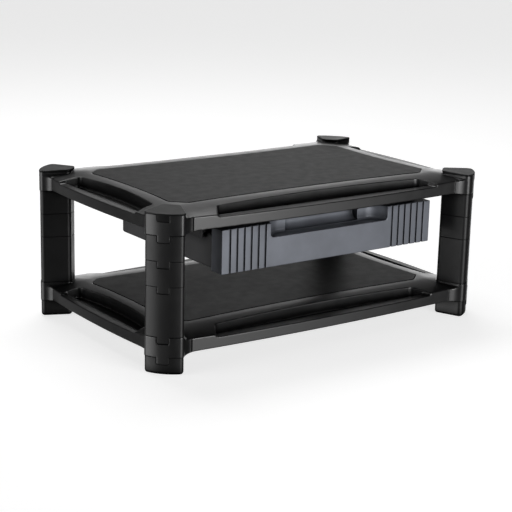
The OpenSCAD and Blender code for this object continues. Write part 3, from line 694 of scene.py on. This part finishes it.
def screw_sdf(length):
    """Pan-head screw along +Z from the underside of its head, with a cross recess and a thread."""
    def sdf(x, y, z):
        r = np.hypot(x, y)
        turn = np.arctan2(y, x) / (2 * math.pi)
        ridge = np.abs(((z / THREAD_PITCH - turn) % 1.0) - 0.5) * 2
        shank = r - (SHANK_R - 0.32 + 0.3 * ridge * np.clip((z - 0.8) / 0.8, 0, 1))
        tip = (r * 0.9 + (z - length) * 0.8) * 0.8
        shank = both(both(shank * 0.8, tip, 0.1), np.maximum(-z - 0.5, z - length))
        dome = np.hypot(r, z + HEAD_H - DOME_R) - DOME_R
        head = both(both(r - HEAD_R, np.maximum(dome, -z - HEAD_H), 0.4), z, 0.2)
        arm = np.minimum(box2(x, y, -2.0, 2.0, -0.4, 0.4), box2(x, y, -0.4, 0.4, -2.0, 2.0))
        head = without(head, both(arm, z + 0.9), 0.1)
        return np.minimum(head, shank)
    return sdf


def screw_grid(length):
    across = lines((-3.6, 3.6, 0.24))
    return across, across, lines((-HEAD_H - 0.3, length + 0.4, 0.24))


def pad_sdf(x, y, z):
    r = np.hypot(x, y)
    body = both(r - PAD_R, span(z, 0, PAD_H), 0.5)
    groove = np.minimum(np.abs(r - 5.6), np.abs(r - 3.0)) - 0.45
    return without(body, both(groove, z - 0.5), 0.2)


def pad_grid():
    across = lines((-8.7, 8.7, 0.45))
    return across, across, lines((-0.5, 2.5, 0.3))


# ---- Materials -----------------------------------------------------------------------------

MOTTLE = 0.12
# Painted shade: gaps narrower than about this, in metres, are painted darker in colour and sheen, by
# the power that follows
PAINTED_SHADE_REACH, PAINTED_SHADE_POWER = 0.012, 2.0
GRAIN_DEPTH = 0.00008
SHEEN_SPREAD = 0.03


def new_material(name):
    mat = bpy.data.materials.new(name)
    mat.use_nodes = True
    tree = mat.node_tree
    return mat, tree, tree.nodes["Principled BSDF"]


def node(tree, kind, **values):
    made = tree.nodes.new(kind)
    for key, value in values.items():
        if key in made.inputs:
            made.inputs[key].default_value = value
        else:
            setattr(made, key, value)
    return made


def noise(tree, scale, detail=2.0, roughness=0.5):
    coords = node(tree, "ShaderNodeTexCoord")
    made = node(tree, "ShaderNodeTexNoise", Scale=scale, Detail=detail, Roughness=roughness)
    tree.links.new(coords.outputs["Object"], made.inputs["Vector"])
    return made.outputs["Fac"]


def ranged(tree, value, lo, hi, from_lo=0.3, from_hi=0.7):
    made = node(tree, "ShaderNodeMapRange")
    made.inputs["From Min"].default_value = from_lo
    made.inputs["From Max"].default_value = from_hi
    made.inputs["To Min"].default_value = lo
    made.inputs["To Max"].default_value = hi
    tree.links.new(value, made.inputs["Value"])
    return made.outputs["Result"]


def moulded(name, tone, roughness, grain, wear, metallic=0.0, grain_scale=2600.0, specular=0.5):
    """Moulded plastic: fine grain, uneven sheen, faint mottling, pale worn edges, and painted shade
    that darkens colour and sheen in crevices.
    """
    mat, tree, shader = new_material(name)
    mottle = node(tree, "ShaderNodeMix", data_type="RGBA")
    mottle.inputs[6].default_value = (*((1 - MOTTLE) * c for c in tone), 1)
    mottle.inputs[7].default_value = (*((1 + MOTTLE) * c for c in tone), 1)
    tree.links.new(ranged(tree, noise(tree, 35.0, 4.0), 0.0, 1.0), mottle.inputs[0])
    edges = node(tree, "ShaderNodeNewGeometry")
    worn = ranged(tree, edges.outputs["Pointiness"], 0.0, wear, 0.53, 0.66)
    colour = node(tree, "ShaderNodeMix", data_type="RGBA")
    colour.inputs[7].default_value = (*(min(1.0, 3.0 * c + 0.02) for c in tone), 1)
    tree.links.new(worn, colour.inputs[0])
    tree.links.new(mottle.outputs[2], colour.inputs[6])
    # Painted shade: ambient occlusion darkens the base colour and the sheen in crevices, grooves and
    # pockets
    occlusion_probe = node(tree, "ShaderNodeAmbientOcclusion", samples=8, Distance=PAINTED_SHADE_REACH)
    painted_shade = node(tree, "ShaderNodeMath", operation="POWER")
    tree.links.new(occlusion_probe.outputs["AO"], painted_shade.inputs[0])
    painted_shade.inputs[1].default_value = PAINTED_SHADE_POWER
    shaded = node(tree, "ShaderNodeVectorMath", operation="SCALE")
    tree.links.new(colour.outputs[2], shaded.inputs[0])
    tree.links.new(painted_shade.outputs["Value"], shaded.inputs["Scale"])
    tree.links.new(shaded.outputs["Vector"], shader.inputs["Base Color"])
    shaded_gloss = node(tree, "ShaderNodeMath", operation="MULTIPLY")
    tree.links.new(painted_shade.outputs["Value"], shaded_gloss.inputs[0])
    shaded_gloss.inputs[1].default_value = specular
    tree.links.new(shaded_gloss.outputs["Value"], shader.inputs["Specular IOR Level"])
    sheen = ranged(tree, noise(tree, 90.0, 3.0), roughness - SHEEN_SPREAD, roughness + SHEEN_SPREAD)
    tree.links.new(sheen, shader.inputs["Roughness"])
    shader.inputs["Metallic"].default_value = metallic
    bump = node(tree, "ShaderNodeBump", Strength=grain, Distance=GRAIN_DEPTH)
    tree.links.new(noise(tree, grain_scale, 2.0), bump.inputs["Height"])
    tree.links.new(bump.outputs["Normal"], shader.inputs["Normal"])
    return mat


def zinc(name):
    mat, tree, shader = new_material(name)
    tone = node(tree, "ShaderNodeMix", data_type="RGBA")
    tone.inputs[6].default_value = (0.42, 0.42, 0.43, 1)
    tone.inputs[7].default_value = (0.6, 0.6, 0.61, 1)
    tree.links.new(ranged(tree, noise(tree, 1200.0, 4.0), 0.0, 1.0), tone.inputs[0])
    tree.links.new(tone.outputs[2], shader.inputs["Base Color"])
    tree.links.new(ranged(tree, noise(tree, 900.0), 0.25, 0.42), shader.inputs["Roughness"])
    shader.inputs["Metallic"].default_value = 1.0
    return mat


SHELF = moulded("shelf_plastic", (0.006, 0.006, 0.0063), 0.32, 0.12, 0.35, specular=0.8)
COLUMN = moulded("column_plastic", (0.007, 0.007, 0.0073), 0.40, 0.12, 0.35, specular=0.5)
CAP = moulded("cap_plastic", (0.006, 0.006, 0.0063), 0.46, 0.12, 0.35, specular=0.2)
MAT = moulded("mat_sheet", (0.008, 0.008, 0.008), 0.46, 0.3, 0.2, grain_scale=1500.0, specular=0.07)
PAD = moulded("pad_rubber", (0.02, 0.02, 0.02), 0.8, 0.5, 0.1)
RUNNER = moulded("runner_plastic", (0.018, 0.018, 0.019), 0.45, 0.12, 0.4)
TRAY = moulded("tray_plastic", (0.045, 0.045, 0.047), 0.45, 0.15, 0.4)
FRONT = moulded("drawer_front_plastic", (0.15, 0.16, 0.185), 0.42, 0.15, 0.3, metallic=0.3)
SCREW = zinc("screw_zinc")


# ---- Pieces --------------------------------------------------------------------------------

def add(cad_node, part, material, body="frame", at=(0, 0, 0), angle=0.0):
    """Shows the solid in place of the CAD node, turned about Z by angle and shifted to at."""
    turn = np.array(Matrix.Rotation(angle, 3, "Z"))
    mesh = mesh_of(cad_node + "_part", moved(part, turn, at))
    mesh.materials.append(material)
    obj = bpy.data.objects.new(cad_node + "_part", mesh)
    bpy.context.scene.collection.objects.link(obj)
    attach(obj, body)
    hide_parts(cad_node)


shelf = solid(shelf_sdf, shelf_grid(), True, True, SHELF_TRIANGLES)
add("lower_shelf", shelf, SHELF, at=(0, 0, LOWER_Z))
add("upper_shelf", shelf, SHELF, at=(0, 0, UPPER_Z))

sheet = solid(mat_sdf, mat_grid(), True, True)
add("lower_mat", sheet, MAT, at=(0, 0, LOWER_Z))
add("upper_mat", sheet, MAT, at=(0, 0, UPPER_Z))

long_h, short_h = MIDDLE_Z - LONG_Z, TOP_Z - MIDDLE_Z
short_spacer = solid(spacer_sdf(short_h), column_grid(short_h), False, True)
stack = (
    ("foot", solid(foot_sdf, column_grid(LOWER_Z), False, True), COLUMN, 0.0),
    ("long_spacer", solid(spacer_sdf(long_h), column_grid(long_h), False, True), COLUMN, LONG_Z),
    ("middle_spacer", short_spacer, COLUMN, MIDDLE_Z),
    ("top_spacer", short_spacer, COLUMN, TOP_Z),
    ("cap", solid(cap_sdf, column_grid(CAP_H), False, True), CAP, CAP_Z),
)
pad = solid(pad_sdf, pad_grid())
for corner, sx, sy in CORNERS:
    turn = math.atan2(sy, sx)
    for kind, part, material, z in stack:
        add(f"{kind}_{corner}", part, material,
            at=(sx * COLUMN_X, sy * COLUMN_Y, z), angle=turn)
    add(f"foot_pad_{corner}", pad, PAD, angle=turn,
        at=(sx * (COLUMN_X + PAD_O / SQRT2), sy * (COLUMN_Y + PAD_O / SQRT2), 0))

runner = solid(runner_sdf, runner_grid())
add("runner_right", runner, RUNNER)
add("runner_left", moved(runner, np.diag([-1, 1, 1])), RUNNER)

RUNNER_SCREW_L, FRONT_SCREW_L = 9.0, 10.0
screw = solid(screw_sdf(RUNNER_SCREW_L), screw_grid(RUNNER_SCREW_L))
screws = [moved(screw, offset=(sx * SCREW_X, y, RUNNER_TOP - RUNNER_T))
          for sx in (-1, 1) for y in (-SCREW_YS[1], 0.0, SCREW_YS[1])]
add("runner_screws", joined(screws), SCREW)

tray = solid(drawer_tray_sdf, drawer_tray_grid(), True)
add("drawer_tray", tray, TRAY, "drawer")
front = solid(drawer_front_sdf, drawer_front_grid(), True)
add("drawer_front", front, FRONT, "drawer")
screw = solid(screw_sdf(FRONT_SCREW_L), screw_grid(FRONT_SCREW_L))
towards_front = [[1, 0, 0], [0, 0, -1], [0, 1, 0]]
screws = [moved(screw, towards_front, (x, TRAY_Y0 + TRAY_WALL, FRONT_SCREW_Z))
          for x in (-FRONT_SCREW_XS[1], 0.0, FRONT_SCREW_XS[1])]
add("drawer_front_screws", joined(screws), SCREW, "drawer")


# ---- Studio --------------------------------------------------------------------------------

# The floor is seen by the camera only, so that the studio around the object shapes its sheen
floor_mesh = bpy.data.meshes.new("floor")
floor_mesh.from_pydata([(-6, -6, 0), (6, -6, 0), (6, 6, 0), (-6, 6, 0)], [], [(0, 1, 2, 3)])
floor = bpy.data.objects.new("floor", floor_mesh)
bpy.context.scene.collection.objects.link(floor)
paper, tree, shader = new_material("floor_paper")
tree.links.new(ranged(tree, noise(tree, 6.0), 0.9, 0.95), shader.inputs["Roughness"])
shader.inputs["Base Color"].default_value = (0.5, 0.5, 0.5, 1)
shader.inputs["Emission Color"].default_value = (1, 1, 1, 1)
shader.inputs["Emission Strength"].default_value = 0.72
floor_mesh.materials.append(paper)
floor.visible_diffuse = floor.visible_glossy = False

# Soft panels around the studio: direction, strength, and the cosines of the angle from that
# direction where the glow starts and where it is full
PANELS = (
    ((0.64, 0.74, -0.16), 2.4, 0.87, 0.99),
    ((-0.10, 0.98, -0.20), 0.3, 0.87, 0.99),
    ((-0.95, 0.17, 0.28), 2.4, 0.87, 0.99),
    ((-0.96, 0.20, -0.20), 2.0, 0.86, 0.99),
    ((-0.87, -0.46, -0.20), 0.2, 0.87, 0.99),
    ((0.30, -0.93, -0.20), 1.5, 0.87, 0.99),
)
AMBIENT = 0.04

world = bpy.data.worlds.new("studio")
bpy.context.scene.world = world
world.use_nodes = True
tree = world.node_tree
coords = node(tree, "ShaderNodeTexCoord")
glow = None
for direction, strength, start, full in PANELS:
    dot = node(tree, "ShaderNodeVectorMath", operation="DOT_PRODUCT")
    tree.links.new(coords.outputs["Generated"], dot.inputs[0])
    dot.inputs[1].default_value = Vector(direction).normalized()
    panel = node(tree, "ShaderNodeMapRange", interpolation_type="SMOOTHSTEP")
    panel.inputs["From Min"].default_value = start
    panel.inputs["From Max"].default_value = full
    panel.inputs["To Min"].default_value = 0.0
    panel.inputs["To Max"].default_value = strength
    tree.links.new(dot.outputs["Value"], panel.inputs["Value"])
    total = node(tree, "ShaderNodeMath", operation="ADD")
    tree.links.new(panel.outputs["Result"], total.inputs[0])
    if glow is None:
        total.inputs[1].default_value = AMBIENT
    else:
        tree.links.new(glow, total.inputs[1])
    glow = total.outputs["Value"]
rays = node(tree, "ShaderNodeLightPath")
seen = node(tree, "ShaderNodeMath", operation="MAXIMUM")
tree.links.new(rays.outputs["Is Camera Ray"], seen.inputs[0])
tree.links.new(glow, seen.inputs[1])
background = tree.nodes["Background"]
tree.links.new(seen.outputs["Value"], background.inputs["Strength"])
background.inputs["Color"].default_value = (1, 1, 1, 1)


def soft_light(name, place, target, size, power):
    data = bpy.data.lights.new(name, "AREA")
    data.shape = "RECTANGLE"
    data.size, data.size_y = size
    data.energy = power
    lamp = bpy.data.objects.new(name, data)
    bpy.context.scene.collection.objects.link(lamp)
    lamp.location = place
    lamp.rotation_euler = (Vector(target) - Vector(place)).to_track_quat("-Z", "Y").to_euler()
    lamp.visible_camera = False


soft_light("front_panel", (0.12, -1.25, 0.25), (-0.1, -0.1, 0.1), (0.7, 0.5), 8.6)
soft_light("top_panel", (0.2, 0.9, 1.6), (0, 0, 0.1), (1.4, 0.8), 17)

# Camera: its direction, roll and distance suit the object's size
AZIMUTH, ELEVATION, ROLL = map(math.radians, (-35.6, 14.99, 1.4))
DISTANCE = 1.68606
AIM = Vector((-0.00259, 0.0, 0.06717))
back = Vector((math.sin(AZIMUTH) * math.cos(ELEVATION), -math.cos(AZIMUTH) * math.cos(ELEVATION),
               math.sin(ELEVATION)))
right = Vector((math.cos(AZIMUTH), math.sin(AZIMUTH), 0))
up = back.cross(right)
right, up = (right * math.cos(ROLL) + up * math.sin(ROLL),
             up * math.cos(ROLL) - right * math.sin(ROLL))
data = bpy.data.cameras.new("camera")
data.sensor_width, data.lens = 36.0, 103.26
data.clip_start, data.clip_end = 0.05, 50
camera = bpy.data.objects.new("camera", data)
bpy.context.scene.collection.objects.link(camera)
turn = Matrix((right, up, back)).transposed().to_4x4()
camera.matrix_world = Matrix.Translation(AIM + back * DISTANCE) @ turn
bpy.context.scene.camera = camera
bpy.context.scene.view_settings.view_transform = "Standard"

bpy.context.view_layer.update()
